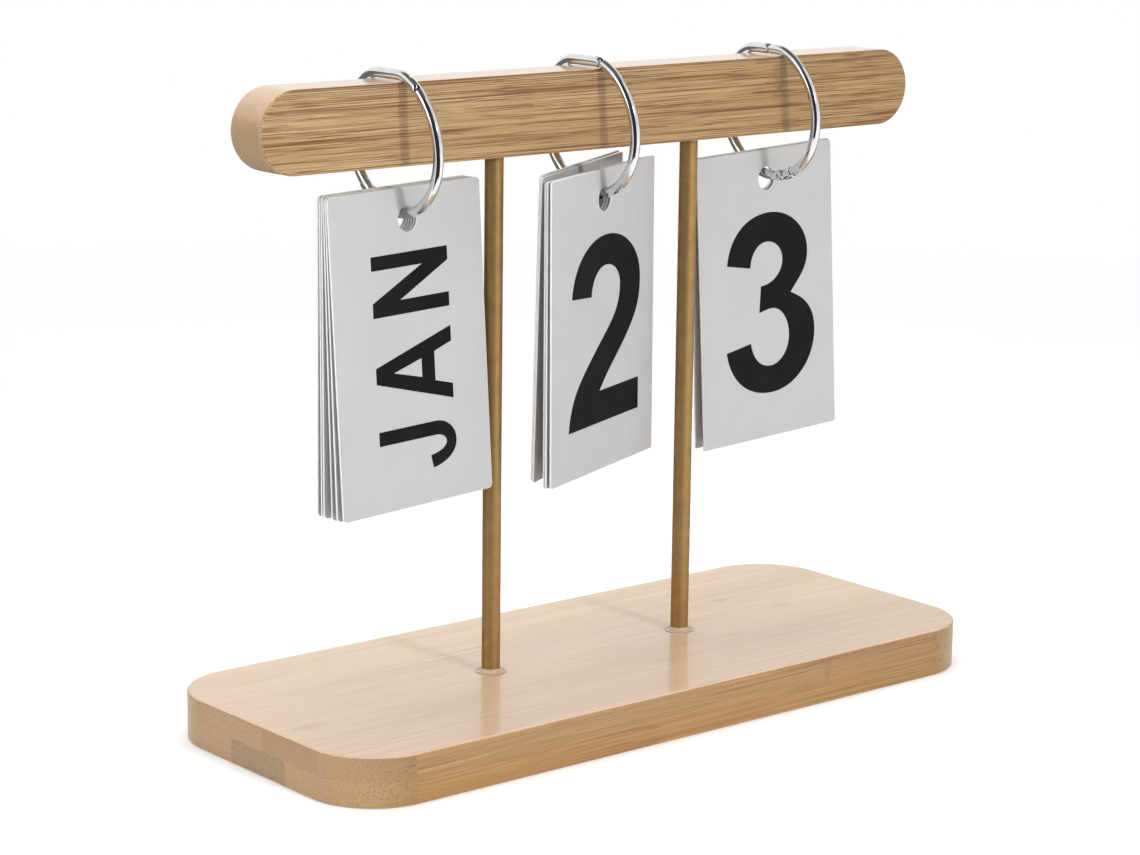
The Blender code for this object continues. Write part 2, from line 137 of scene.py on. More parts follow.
class Nodes:
    """A node tree that grows one node at a time."""

    def __init__(self, tree):
        self.tree = tree

    def put(self, socket, value):
        if isinstance(value, bpy.types.NodeSocket):
            self.tree.links.new(value, socket)
        else:
            socket.default_value = value

    def node(self, kind, inputs=None, **settings):
        made = self.tree.nodes.new("ShaderNode" + kind)
        for key, value in settings.items():
            setattr(made, key, value)
        for key, value in (inputs or {}).items():
            self.put(made.inputs[key], value)
        return made

    def math(self, operation, *values):
        made = self.node("Math", operation=operation)
        for socket, value in zip(made.inputs, values):
            self.put(socket, value)
        return made.outputs[0]

    def plus(self, first, second):
        return self.math("ADD", first, second)

    def minus(self, first, second):
        return self.math("SUBTRACT", first, second)

    def times(self, first, second):
        return self.math("MULTIPLY", first, second)

    def greater(self, first, second):
        return self.math("MAXIMUM", first, second)

    def point(self):
        """The point on the object, in millimetres."""
        return self.stretched(self.node("TexCoord").outputs["Object"], (MM_PER_M,) * 3)

    def stretched(self, point, scale):
        return self.node("VectorMath", {0: point, 1: scale}, operation="MULTIPLY").outputs[0]

    def moved(self, point, offset):
        return self.node("VectorMath", {0: point, 1: offset}, operation="ADD").outputs[0]

    def noise(self, point, reach=None, detail=2.0, roughness=0.5):
        """Noise that changes about reach times in a millimetre."""
        if reach:
            point = self.stretched(point, reach if isinstance(reach, tuple) else (reach,) * 3)
        inputs = {"Vector": point, "Scale": 1.0, "Detail": detail, "Roughness": roughness}
        return self.node("TexNoise", inputs).outputs["Fac"]

    def span(self, value, low, high, to_low=0.0, to_high=1.0, kind="SMOOTHSTEP"):
        inputs = {"Value": value, "From Min": low, "From Max": high, "To Min": to_low,
                  "To Max": to_high}
        return self.node("MapRange", inputs, interpolation_type=kind, clamp=True).outputs["Result"]

    def mix(self, share, first, second, blend="MIX"):
        made = self.node("Mix", data_type="RGBA", blend_type=blend, clamp_factor=True)
        self.put(made.inputs[0], share)
        for socket, value in ((made.inputs[6], first), (made.inputs[7], second)):
            self.put(socket, (*value, 1.0) if isinstance(value, tuple) else value)
        return made.outputs[2]


class Finish(Nodes):
    def __init__(self, name):
        self.material = bpy.data.materials.new(name)
        self.material.use_nodes = True
        super().__init__(self.material.node_tree)
        self.shader = self.tree.nodes["Principled BSDF"]

    def set(self, **values):
        for key, value in values.items():
            self.put(self.shader.inputs[key.replace("_", " ")], value)

    def bump(self, height, strength, distance):
        made = self.node("Bump", {"Height": height, "Strength": strength, "Distance": distance})
        self.set(Normal=made.outputs["Normal"])

    def show(self, node):
        self.put(self.tree.nodes["Material Output"].inputs["Surface"], node.outputs[0])


# What the upper layer adds to its strips' numbers, and how far apart two strips' noise lies
LAYER_STEP = 37.0
STRIP_STEP = 91.7
WAVE_REACH = (0.016, 0.04, 0.04)
LINE_SPAN = (0.36, 0.64)
BAND_SPAN = (0.32, 0.70)
GATHER_SPAN = (0.35, 0.65)
# How soft a dash's edge is, and where its pale fleck lies
DASH_EDGE = 0.07
BESIDE = (0, 1, 1)
# Thin lines come and go, with a pale fleck this many widths beside them
COMING_REACH = (0.02, 1.1, 1.1)
COMING_SPAN = (0.36, 0.60)
FLECK_SIDE = 1.8
MARK_REACH = (0.9, 1.8, 1.8)
MARK_SPAN = (0.35, 0.6, 0.35, 1.0)
COAT_IOR = 1.45
# How high the grain stands, in metres
WOOD_RELIEF = 0.00004
FINE_RELIEF = 0.00002
INK_RELIEF = 0.00001
GLUE_RELIEF = 0.0002


def bamboo(name, look):
    """Bamboo glued up from strips along X: streaks along the board, dots on its ends."""
    made = Finish(name)
    point = made.point()
    wave = made.noise(point, WAVE_REACH, 1.0)
    sway = made.times(made.minus(wave, 0.5), look["sway"])
    bent = made.moved(point, made.node("CombineXYZ", {"Y": sway, "Z": sway}).outputs[0])
    x, y, z = made.node("SeparateXYZ", {0: bent}).outputs

    layer = made.math("GREATER_THAN", z, look["seam_height"])
    across = made.math("DIVIDE", y, look["strip_width"])
    across = made.plus(across, made.times(layer, look["strip_shift"]))
    strip = made.math("FLOOR", made.plus(across, look["strip_start"]))
    number = made.plus(strip, made.times(layer, LAYER_STEP))
    tone = made.node("TexWhiteNoise", {"W": number}, noise_dimensions="1D").outputs["Value"]
    shift = made.node("CombineXYZ", {"X": made.times(number, STRIP_STEP)}).outputs[0]
    own = made.moved(bent, shift)
    band = made.noise(own, look["band"], 1.0)
    line = made.noise(own, look["line"], 3.0, 0.6)
    dense = made.math("COMPARE", number, look["speckled_strip"], 0.5)

    colour = made.mix(made.span(line, *LINE_SPAN), look["light"], look["middle"])
    share = made.span(band, *BAND_SPAN, 0.0, look["band_share"])
    colour = made.mix(share, colour, look["band_tint"])
    for where, share, tint in ((tone, "tone_share", "strip_tint"),
                               (layer, "layer_share", "layer_tint"),
                               (dense, "tone_share", "strip_tint")):
        colour = made.mix(made.times(where, look[share]), colour, look[tint])

    dark = 0.0
    ease = made.plus(made.span(band, *GATHER_SPAN, 0.0, look["gather"]),
                     made.times(dense, look["speckled_share"]))
    for reach, limit, share in look["dashes"]:
        where = made.stretched(own, reach)
        dash = made.plus(made.noise(where, detail=1.0), ease)
        beside = made.plus(made.noise(made.moved(where, BESIDE), detail=1.0), ease)
        dark = made.greater(dark, made.span(dash, limit, limit + DASH_EDGE, 0.0, share))
        fleck = made.span(beside, limit, limit + DASH_EDGE, 0.0, share * look["fleck_share"])
        colour = made.mix(fleck, colour, look["fleck_tint"])
    coming = made.span(made.noise(own, COMING_REACH), *COMING_SPAN)
    for reach, width, share in look["lines"]:
        level = made.minus(made.noise(own, reach, 1.0), 0.5)
        beside = made.math("ABSOLUTE", made.minus(level, width * FLECK_SIDE))
        thin = made.span(made.math("ABSOLUTE", level), 0.0, width, share, 0.0)
        dark = made.greater(dark, made.times(thin, coming))
        fleck = made.span(beside, 0.0, width, share * look["fleck_share"], 0.0)
        colour = made.mix(made.times(fleck, coming), colour, look["fleck_tint"])
    colour = made.mix(dark, colour, look["dash_tint"])

    for centre, reach, share in look["marks"]:
        near = made.moved(bent, tuple(-value for value in centre))
        near = made.stretched(near, tuple(1 / value for value in reach))
        far = made.node("VectorMath", {0: near}, operation="LENGTH").outputs["Value"]
        grainy = made.span(made.noise(point, MARK_REACH), *MARK_SPAN)
        inside = made.times(made.span(far, 0.1, 1.0, share, 0.0), grainy)
        colour = made.mix(inside, colour, look["mark_tint"])
    distances = {"x": x, "y": y, "z": z, "away": made.math("ABSOLUTE", x)}
    # Fades multiply the colour along an axis; on the bar some of them are painted shade.
    for axis, start, end, tint in look["fades"]:
        share = made.span(distances[axis], start, end, kind="LINEAR")
        colour = made.mix(share, colour, tint, "MULTIPLY")
    made.set(Base_Color=colour, Roughness=made.span(line, *NOISE_SPAN, *look["roughness"]),
             Coat_Weight=look["coat"], Coat_Roughness=look["coat_roughness"], Coat_IOR=COAT_IOR)
    made.bump(made.minus(made.times(line, 0.7), dark), look["relief"], WOOD_RELIEF)
    return made.material


# Each board's look. Dashes are (noise reach, limit, share), lines (noise reach, width, share),
# marks (centre, size, share) and fades (axis, start, end, tint), in millimetres.
BASE_TOP = {
    "sway": 0.8, "seam_height": 6.1, "strip_width": 21.9, "strip_shift": 0.58,
    "strip_start": 0.566, "speckled_strip": 0.0, "speckled_share": 0.0,
    "band": (0.01, 0.16, 0.16), "line": (0.01, 1.5, 1.5),
    "light": (0.75, 0.56, 0.395), "middle": (0.67, 0.475, 0.30),
    "band_tint": (0.79, 0.58, 0.425), "band_share": 0.5,
    "strip_tint": (0.72, 0.535, 0.34), "tone_share": 0.5,
    "layer_tint": (0.66, 0.47, 0.31), "layer_share": 0.0,
    "dashes": (((0.015, 3.0, 3.0), 0.60, 0.25), ((0.06, 3.4, 3.4), 0.62, 0.22)),
    "lines": (((0.006, 0.6, 0.6), 0.05, 0.2),),
    "dash_tint": (0.47, 0.31, 0.18), "gather": 0.05,
    "fleck_tint": (0.84, 0.69, 0.53), "fleck_share": 0.7,
    "marks": (((-91.0, -9.6, 12.1), (9, 3.5, 3), 0.6), ((58.4, 14.8, 12.1), (3.5, 2.5, 3), 0.5),
              ((67.7, 1.5, 12.1), (5, 2.5, 3), 0.5)),
    "mark_tint": (0.45, 0.31, 0.19),
    "fades": (("y", 6, -38, (0.90, 0.87, 0.86)), ("x", -50, -95, (0.96, 0.94, 0.93))),
    "roughness": (0.40, 0.50), "coat": 0.7, "coat_roughness": 0.15, "relief": 0.15,
}
BASE_SIDE = {
    **BASE_TOP,
    "light": (0.42, 0.24, 0.06), "middle": (0.342, 0.181, 0.042),
    "band": (0.008, 0.30, 0.30), "line": (0.006, 1.3, 1.3),
    "band_tint": (0.39, 0.209, 0.061), "band_share": 0.6,
    "strip_tint": (0.46, 0.26, 0.08), "tone_share": 0.3,
    "layer_tint": (0.37, 0.21, 0.085), "layer_share": 0.55,
    "dashes": (((0.02, 3.2, 3.2), 0.62, 0.4), ((0.06, 3.4, 3.4), 0.62, 0.4)),
    "lines": (((0.004, 0.8, 0.8), 0.04, 0.95), ((0.005, 1.6, 1.6), 0.05, 0.6)),
    "dash_tint": (0.24, 0.098, 0.022), "fleck_tint": (0.54, 0.335, 0.14), "fleck_share": 0.5,
    "marks": (((44.5, -40.5, 8.0), (2.0, 3, 5.5), 0.75), ((36.0, -40.5, 5.5), (9, 3, 2.2), 0.70),
              ((48.0, -40.5, 11.3), (36, 3, 0.45), 0.9), ((10.0, -40.5, 10.6), (30, 3, 0.35), 0.6),
              ((-20.0, -40.5, 1.6), (60, 3, 0.35), 0.6)),
    "mark_tint": (0.27, 0.125, 0.045),
    "fades": (("x", 40, 84, (0.90, 0.84, 0.76)),), "coat": 0.5, "relief": 0.3,
}
BASE_END = {
    **BASE_TOP,
    "light": (0.48, 0.305, 0.148), "middle": (0.43, 0.268, 0.122),
    "band_tint": (0.50, 0.325, 0.17), "band_share": 0.4,
    "strip_tint": (0.30, 0.185, 0.085), "tone_share": 0.42,
    "dashes": (((0.045, 3.8, 3.8), 0.64, 0.6),), "lines": (),
    "dash_tint": (0.15, 0.075, 0.03), "speckled_share": 0.09,
    "fleck_tint": (0.60, 0.43, 0.28), "fleck_share": 0.5,
    "marks": (), "fades": (("away", 98, 84, (0.72, 0.66, 0.50)),),
    "relief": 0.25, "coat": 0.35, "coat_roughness": 0.3,
}
BAR_FACE = {
    **BASE_TOP,
    "sway": 0.25, "seam_height": 400.0, "strip_width": 400.0, "strip_start": 0.5,
    "band": (0.006, 0.45, 0.45), "line": (0.006, 2.4, 2.4),
    "light": (0.452, 0.311, 0.142), "middle": (0.41, 0.258, 0.106),
    "band_tint": (0.414, 0.266, 0.108), "band_share": 0.35, "tone_share": 0.0,
    "dashes": (((0.02, 3.4, 3.4), 0.62, 0.9), ((0.07, 3.8, 3.8), 0.62, 0.9)),
    "lines": (((0.003, 0.80, 0.80), 0.035, 1.0), ((0.005, 1.5, 1.5), 0.05, 0.9)),
    "dash_tint": (0.175, 0.058, 0.012), "gather": 0.03,
    "fleck_tint": (0.60, 0.43, 0.24), "fleck_share": 0.6,
    # The first mark, a darker column at x 55 mm by the right ring, is a bamboo node and partly painted
    # shadow of that ring.
    "marks": (((55.0, -6, 151.0), (2.6, 3, 9.0), 0.6), ((54.9, -6, 152.3), (0.5, 1, 0.4), 1.0),
              ((51.3, -6, 151.5), (0.5, 1, 0.4), 1.0), ((55.3, -6, 150.0), (0.7, 1, 0.5), 1.0),
              ((86.0, -6, 155.5), (2.2, 2, 1.4), 0.6), ((-93.5, -6, 148.5), (0.5, 1, 0.4), 0.8)),
    "mark_tint": (0.20, 0.10, 0.04),
    # The x fade darkens the bar's front towards its right end: painted shade, where less light falls
    # along the bar.
    "fades": (("x", -90, 100, (0.83, 0.75, 0.66)), ("z", 157.0, 157.5, (0.72, 0.58, 0.45))),
    "roughness": (0.45, 0.58), "coat": 0.2, "coat_roughness": 0.3, "relief": 0.4,
}
BAR_RIM = {
    **BAR_FACE,
    "line": (0.012, 1.8, 1.8),
    "light": (0.62, 0.43, 0.275), "middle": (0.58, 0.39, 0.245),
    "band_tint": (0.63, 0.45, 0.30), "band_share": 0.4,
    "dashes": (((0.045, 2.4, 2.4), 0.68, 0.4),), "lines": (),
    "dash_tint": (0.34, 0.19, 0.09), "fleck_tint": (0.70, 0.52, 0.36), "fleck_share": 0.5,
    # The z fade darkens the ends and the underside below the top: painted shade, with the top kept pale
    # as where the light falls.
    "marks": (), "fades": (("z", 158, 149, (0.76, 0.73, 0.66)),),
    "coat": 0.9, "coat_roughness": 0.12, "relief": 0.2,
}


def metal(name, colours, roughness, grain, relief, metallic=1.0):
    made = Finish(name)
    point = made.point()
    cloud = made.noise(point, 0.35, 3.0)
    lines = made.noise(point, grain)
    tint = made.mix(made.span(cloud, *NOISE_SPAN), *colours)
    smudge = made.span(cloud, 0.4, 0.7, 0.0, 0.03)
    rough = made.plus(made.span(lines, *NOISE_SPAN, *roughness), smudge)
    made.set(Base_Color=tint, Metallic=metallic, Roughness=rough)
    made.bump(lines, relief, FINE_RELIEF)
    return made.material


def paper(name, colour, roughness):
    made = Finish(name)
    point = made.point()
    cloud = made.noise(point, 0.06)
    pulp = made.noise(point, 3.0, 4.0, 0.65)
    darker = tuple(value * 0.965 for value in colour)
    tint = made.mix(made.span(cloud, *NOISE_SPAN), colour, darker)
    tint = made.mix(made.span(pulp, 0.4, 0.75, 0.0, 0.35), tint, darker)
    made.set(Base_Color=tint, Roughness=made.span(pulp, *NOISE_SPAN, *roughness))
    made.bump(pulp, 0.12, FINE_RELIEF)
    return made.material


def ink(name):
    made = Finish(name)
    point = made.point()
    grain = made.noise(point, 2.5, 3.0, 0.6)
    cloud = made.noise(point, 0.08)
    tint = made.mix(made.span(cloud, *NOISE_SPAN), (0.0085, 0.0085, 0.0088), (0.0115, 0.0115, 0.0117))
    made.set(Base_Color=tint, Roughness=made.span(grain, *NOISE_SPAN, 0.50, 0.62),
             Specular_IOR_Level=0.06)
    made.bump(grain, 0.10, INK_RELIEF)
    return made.material


def glue(name, colour):
    made = Finish(name)
    cloud = made.noise(made.point(), 0.9, 3.0)
    darker = tuple(value * 0.88 for value in colour)
    tint = made.mix(made.span(cloud, *NOISE_SPAN), colour, darker)
    rough = made.span(cloud, *NOISE_SPAN, 0.10, 0.24)
    made.set(Base_Color=tint, Roughness=rough, Transmission_Weight=0.30, IOR=1.47)
    made.bump(cloud, 0.35, GLUE_RELIEF)
    return made.material


MATERIALS = {
    "base_top": bamboo("bamboo_pale_face", BASE_TOP),
    "base_side": bamboo("bamboo_pale_side", BASE_SIDE),
    "base_end": bamboo("bamboo_pale_end", BASE_END),
    "bar_face": bamboo("bamboo_brown_face", BAR_FACE),
    "bar_rim": bamboo("bamboo_brown_rim", BAR_RIM),
    "brass": metal("satin_brass", ((0.40, 0.247, 0.094), (0.35, 0.21, 0.078)), (0.46, 0.56),
                   (6.0, 6.0, 0.08), 0.12, 0.75),
    "nickel": metal("bright_nickel", ((0.80, 0.80, 0.81), (0.74, 0.74, 0.755)), (0.07, 0.12), 1.2, 0.03),
    "pin": metal("pin_steel", ((0.70, 0.70, 0.71), (0.62, 0.62, 0.63)), (0.2, 0.3), 2.0, 0.06),
    "card": paper("card_white", (0.545, 0.547, 0.550), (0.55, 0.65)),
    # The cards' edges and hole walls are painted much paler than their faces: painted light, standing in
    # for the light that reaches the edges and shines through the paper.
    "card_edge_painted_light": paper("card_edge_painted_pale", (0.90, 0.92, 0.94), (0.60, 0.75)),
    "ink": ink("print_black"),
    "foot_glue": glue("set_glue_tan", (0.86, 0.66, 0.47)),
    "head_glue": glue("set_glue_white", (0.80, 0.74, 0.64)),
}


# Meshes

SHARP_ANGLE = 35.0
BOARD_SHARP_ANGLE = 60.0
# How far a normal goes along its axis on a board's face, and along X on the base's ends
FACE_TURN = 0.7
END_TURN = 0.06


def placed(name, data):
    item = bpy.data.objects.new(name, data)
    bpy.context.scene.collection.objects.link(item)
    return item


def smoothed(mesh, sharp):
    mesh.shade_smooth()
    mesh.set_sharp_from_angle(angle=radians(sharp))


def finished(name, body, materials, smooth=True, sharp=SHARP_ANGLE):
    bmesh.ops.recalc_face_normals(body, faces=body.faces)
    mesh = bpy.data.meshes.new(name)
    body.to_mesh(mesh)
    body.free()
    if smooth:
        smoothed(mesh, sharp)
    for key in materials:
        mesh.materials.append(MATERIALS[key])
    return placed(name, mesh)


def stand_for(item, node, body):
    """Show a finer piece in place of a CAD node."""
    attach(item, body)
    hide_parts(node)


def arc(centre, radius, start, end, steps):
    angles = [radians(start + (end - start) * step / steps) for step in range(steps + 1)]
    return [(centre[0] + radius * cos(a), centre[1] + radius * sin(a)) for a in angles]


def rounded_rectangle(left, right, bottom, top, radius, steps):
    corners = ((right - radius, top - radius), (left + radius, top - radius),
               (left + radius, bottom + radius), (right - radius, bottom + radius))
    outline = []
    for turn, centre in enumerate(corners):
        outline += arc(centre, radius, turn * 90, turn * 90 + 90, steps)
    return outline


def skinned(body, loops):
    """Join closed loops of vertices, each to the next."""
    faces = []
    for near, far in zip(loops, loops[1:]):
        for index in range(len(near)):
            corners = (near[index - 1], near[index], far[index], far[index - 1])
            faces.append(body.faces.new(corners))
    return faces


def capped(body, loops):
    skinned(body, loops)
    body.faces.new(loops[0])
    body.faces.new(loops[-1])


def turned(name, profile, material, closed=False, location=(0, 0, 0), wobble=None):
    """Revolve a profile of (radius, height) pairs about Z."""
    body = bmesh.new()
    points = [body.verts.new((radius, 0, height)) for radius, height in profile]
    edges = [body.edges.new(pair) for pair in zip(points, points[1:])]
    if closed:
        edges.append(body.edges.new((points[-1], points[0])))
    bmesh.ops.spin(body, geom=points + edges, cent=(0, 0, 0), axis=(0, 0, 1),
                   angle=tau, steps=ROUND_SIDES, use_merge=True)
    bmesh.ops.remove_doubles(body, verts=body.verts, dist=MERGE_DISTANCE)
    if wobble:
        for vertex in body.verts:
            wobble(vertex)
    item = finished(name, body, (material,))
    item.location = location
    return item


def board(name, loops, upright, materials, choose):
    """A board through its outline at several depths. choose picks a face's material from the way
    it faces."""
    body = bmesh.new()
    rings = []
    for depth, outline in loops:
        points = [(x, depth, other) if upright else (x, other, depth) for x, other in outline]
        rings.append([body.verts.new(point) for point in points])
    capped(body, rings)
    item = finished(name, body, materials, sharp=BOARD_SHARP_ANGLE)
    for face in item.data.polygons:
        face.material_index = choose(face.normal)
    weigh = item.modifiers.new("even_normals", "WEIGHTED_NORMAL")
    weigh.mode = "FACE_AREA"
    weigh.weight = 100
    weigh.keep_sharp = True
    return item


def edge_steps(start, end):
    """A board's small rounded edges: pairs of depth and how far the outline draws in."""
    made = []
    for step in range(BEVEL_STEPS + 1):
        turn = pi / 2 * step / BEVEL_STEPS
        depth = start + BOARD_EDGE_RADIUS * (1 - cos(turn))
        made.append((depth, BOARD_EDGE_RADIUS * (1 - sin(turn))))
    return made + [(start + end - depth, inset) for depth, inset in reversed(made)]


def base_finish(normal):
    if abs(normal.z) > FACE_TURN:
        return 0
    return 2 if abs(normal.x) > END_TURN else 1


def make_base():
    loops = []
    for depth, inset in edge_steps(0, BASE_THICKNESS):
        x = BASE_LENGTH / 2 - inset
        y = BASE_DEPTH / 2 - inset
        radius = BASE_CORNER_RADIUS - inset
        loops.append((depth, rounded_rectangle(-x, x, -y, y, radius, CORNER_STEPS)))
    finishes = ("base_top", "base_side", "base_end")
    base = board("base_board_dressed", loops, False, finishes, base_finish)
    stand_for(base, "base_board", "stand")


def bar_finish(normal):
    return 0 if abs(normal.y) > FACE_TURN else 1


def make_bar():
    radius = BAR_HEIGHT / 2
    middle = BAR_BOTTOM + radius
    reach = BAR_LENGTH / 2 - radius
    loops = []
    for depth, inset in edge_steps(-BAR_DEPTH / 2, BAR_DEPTH / 2):
        outline = arc((reach, middle), radius - inset, -90, 90, BAR_END_STEPS)
        outline += arc((-reach, middle), radius - inset, 90, 270, BAR_END_STEPS)
        loops.append((depth, outline))
    bar = board("crossbar_dressed", loops, True, ("bar_face", "bar_rim"), bar_finish)
    stand_for(bar, "crossbar", "stand")


def pin_profile(radius, low, high, chamfer):
    return [(0, low), (radius - chamfer, low), (radius, low + chamfer),
            (radius, high - chamfer), (radius - chamfer, high), (0, high)]


def make_rods():
    bottom = BASE_THICKNESS - ROD_SOCKET_DEPTH
    top = BAR_BOTTOM + ROD_SOCKET_DEPTH
    profile = pin_profile(ROD_RADIUS, bottom, top, ROD_CHAMFER)
    for side, x in ROD_PLACES.items():
        item = turned("rod_" + side + "_dressed", profile, "brass", location=(x, 0, 0))
        stand_for(item, "rod_" + side, "stand")


def glue_profile(reach, height, way):
    inner = ROD_RADIUS - JOINT_GAP / 3
    outer = ROD_RADIUS + reach
    profile = [(inner, 0), (outer - GLUE_RIM, 0)]
    for step in range(GLUE_STEPS + 1):
        turn = pi / 2 * step / GLUE_STEPS
        radius = outer - (outer - inner) * sin(turn)
        profile.append((radius, GLUE_RIM + (height - GLUE_RIM) * (1 - cos(turn))))
    return [(radius, way * value) for radius, value in profile]


def uneven(vertex, reach, phase):
    """A hand-laid bead isn't quite round."""
    turn = atan2(vertex.co.y, vertex.co.x)
    away = hypot(vertex.co.x, vertex.co.y) - ROD_RADIUS
    if away > 0:
        wave = sin(turn * 2 + phase) + 0.6 * sin(turn * 3 + phase * 1.7)
        grow = 1 - away / reach * 0.10 * (1 + 0.6 * wave)
        share = (ROD_RADIUS + away * grow) / (ROD_RADIUS + away)
        vertex.co.x *= share
        vertex.co.y *= share


def make_glue():
    beads = (("foot", FOOT_GLUE_REACH, FOOT_GLUE_HEIGHT, BASE_THICKNESS, 1),
             ("head", HEAD_GLUE_REACH, HEAD_GLUE_HEIGHT, BAR_BOTTOM, -1))
    for end, reach, height, level, way in beads:
        profile = glue_profile(reach, height, way)
        for side, x in ROD_PLACES.items():
            name = end + "_glue_" + side
            item = turned(name + "_dressed", profile, end + "_glue", True, (x, 0, level),
                          lambda vertex: uneven(vertex, reach, x * MM_PER_M))
            stand_for(item, name, "stand")


# Rings

LEAN = Matrix.Rotation(-RING_LEAN, 4, "Y")
SIDEWAYS = Matrix.Rotation(pi / 2, 4, "Y")
# Of a quarter turn at a domed tip, of the collar's radius at its edge, and of a narrowing's
# length before plain wire
DOME_SHARE = 0.94
COLLAR_EDGE_SHARE = 0.93
WIRE_START_SHARE = 1.5


def wire_line(angle):
    """The wire's centreline: a circle, pressed down to RING_TOP_HEIGHT at its top."""
    reach = RING_RADIUS
    upward = -cos(angle)
    if upward > 0:
        flat = RING_TOP_HEIGHT / upward
        ease = max(RING_EASE - abs(flat - RING_RADIUS), 0)
        reach = min(flat, RING_RADIUS) - ease ** 2 / RING_EASE / 4
    return Vector((0, -reach * sin(angle), -reach * cos(angle)))


def wire_point(angle, across, outward):
    along = (wire_line(angle + PROBE_ANGLE) - wire_line(angle - PROBE_ANGLE)).normalized()
    return wire_line(angle) + Vector((across, -along.z * outward, along.y * outward))


def plain(travel, size, height_share=1.0):
    """A section of a ring's half: how far along it lies, its radius, its least and greatest reach
    across, and its height in shares of its radius."""
    return travel, size, -size, size, height_share


def dome(start, length):
    pairs = []
    for step in range(1, TIP_STEPS + 1):
        turn = pi / 2 * DOME_SHARE * step / TIP_STEPS
        pairs.append((start + length * sin(turn), cos(turn)))
    return pairs


def closure_sections(side, middle):
    low, high = sorted((side * JOINT_GAP / 2, side * WIRE_RADIUS))
    shoulder = middle - LAP_LENGTH / 2
    tip = middle + LAP_LENGTH / 2 - JOINT_GAP - LAP_TIP_LENGTH
    made = [plain(shoulder - SHOULDER_LENGTH, WIRE_RADIUS)]
    pairs = [(shoulder + (tip - shoulder) * step / LAP_STEPS, 1) for step in range(LAP_STEPS + 1)]
    return made + [(travel, WIRE_RADIUS, low, high, share)
                   for travel, share in pairs + dome(tip, LAP_TIP_LENGTH)]


def stepped(start):
    """Round off a swollen part as it narrows to the wire."""
    made = []
    for step in range(NARROW_STEPS + 1):
        share = step / NARROW_STEPS
        size = WIRE_RADIUS + (KNUCKLE_RADIUS - WIRE_RADIUS) * (1 + cos(pi * share)) / 2
        made.append(plain(start + STEP_LENGTH * share, size))
    return made


def swept_half(node, hinge_end, narrowing, turn, hinge, way, centre):
    """One half of a ring: its hinge end, narrowing to plain wire, and its closure."""
    closure = closure_sections(way, turn * RING_RADIUS)
    start = narrowing + STEP_LENGTH * WIRE_START_SHARE
    stride = (closure[0][0] - start) / WIRE_STEPS
    wire = [plain(start + stride * index, WIRE_RADIUS) for index in range(WIRE_STEPS)]
    body = bmesh.new()
    loops = []
    for travel, size, low, high, share in hinge_end + stepped(narrowing) + wire + closure:
        angle = hinge + way * travel / RING_RADIUS
        loop = []
        for side in range(WIRE_SIDES):
            spin = tau * (side + 0.5) / WIRE_SIDES
            across = min(max(size * cos(spin), low), high)
            point = wire_point(angle, across, size * share * sin(spin))
            loop.append(body.verts.new(centre + LEAN @ point))
        loops.append(loop)
    capped(body, loops)
    return finished(node + "_dressed", body, ("nickel",))


def carve(item, cutters):
    """Cut with each cutter, keep the result and remove the cutters."""
    for cutter in cutters:
        trim = item.modifiers.new(cutter.name, "BOOLEAN")
        trim.operation = "DIFFERENCE"
        trim.solver = "EXACT"
        trim.object = cutter
    bpy.context.view_layer.update()
    seen = item.evaluated_get(bpy.context.evaluated_depsgraph_get())
    mesh = bpy.data.meshes.new_from_object(seen)
    item.modifiers.clear()
    item.data = mesh
    smoothed(mesh, SHARP_ANGLE)
    for cutter in cutters:
        bpy.data.objects.remove(cutter)


def block(name, spans):
    body = bmesh.new()
    bmesh.ops.create_cube(body, size=1.0)
    for vertex in body.verts:
        vertex.co = [(low + high) / 2 + value * (high - low)
                     for value, (low, high) in zip(vertex.co, spans)]
    return finished(name, body, ("nickel",), smooth=False)


def hinge_place(hinge, centre):
    return Matrix.Translation(centre) @ LEAN @ Matrix.Translation(wire_point(hinge, 0, 0))


def pin_hole(name, place):
    radius = PIN_RADIUS + JOINT_GAP / 3
    profile = [(0, -CUT_REACH), (radius, -CUT_REACH), (radius, CUT_REACH), (0, CUT_REACH)]
    hole = turned(name + "_hole", profile, "nickel")
    hole.matrix_world = place @ SIDEWAYS
    return hole


def knuckle_slot(name, place, hinge, way):
    width = TONGUE_THICKNESS / 2 + JOINT_GAP
    floor = TONGUE_RADIUS + JOINT_GAP
    spans = ((-width, width), (-CUT_REACH, CUT_REACH), (-CUT_REACH, floor))
    slot = block(name + "_slot", spans)
    turn = atan2(way * sin(hinge), -way * cos(hinge))
    slot.matrix_world = place @ Matrix.Rotation(turn, 4, "X")
    return slot


def make_fixed_half(name, turn, hinge, way, centre):
    knuckle = [plain(-travel, KNUCKLE_RADIUS, share)
               for travel, share in reversed(dome(0, KNUCKLE_RADIUS))]
    knuckle += [plain(travel, KNUCKLE_RADIUS) for travel in (0, KNUCKLE_LENGTH / 2)]
    half = swept_half(name + "_fixed_half", knuckle, KNUCKLE_LENGTH, turn, hinge, way, centre)
    place = hinge_place(hinge, centre)
    carve(half, [pin_hole(name, place), knuckle_slot(name, place, hinge, way)])
    stand_for(half, name + "_fixed_half", name)


def make_opening_half(name, turn, hinge, way, centre):
    flat = TONGUE_THICKNESS / 2
    neck = KNUCKLE_RADIUS + JOINT_GAP
    rise = SHOULDER_LENGTH / 2
    pairs = [(-travel, share) for travel, share in reversed(dome(0, TONGUE_RADIUS))]
    tongue = [(travel, TONGUE_RADIUS, -flat, flat, share)
              for travel, share in pairs + [(0, 1), (neck, 1)]]
    tongue += [plain(neck + rise, KNUCKLE_RADIUS * COLLAR_EDGE_SHARE),
               plain(neck + 2 * rise, KNUCKLE_RADIUS)]
    narrowing = neck + COLLAR_LENGTH
    half = swept_half(name + "_opening_half", tongue, narrowing, turn, hinge, way, centre)
    carve(half, [pin_hole(name, hinge_place(hinge, centre))])
    stand_for(half, name + "_opening_half", name + "_gate")


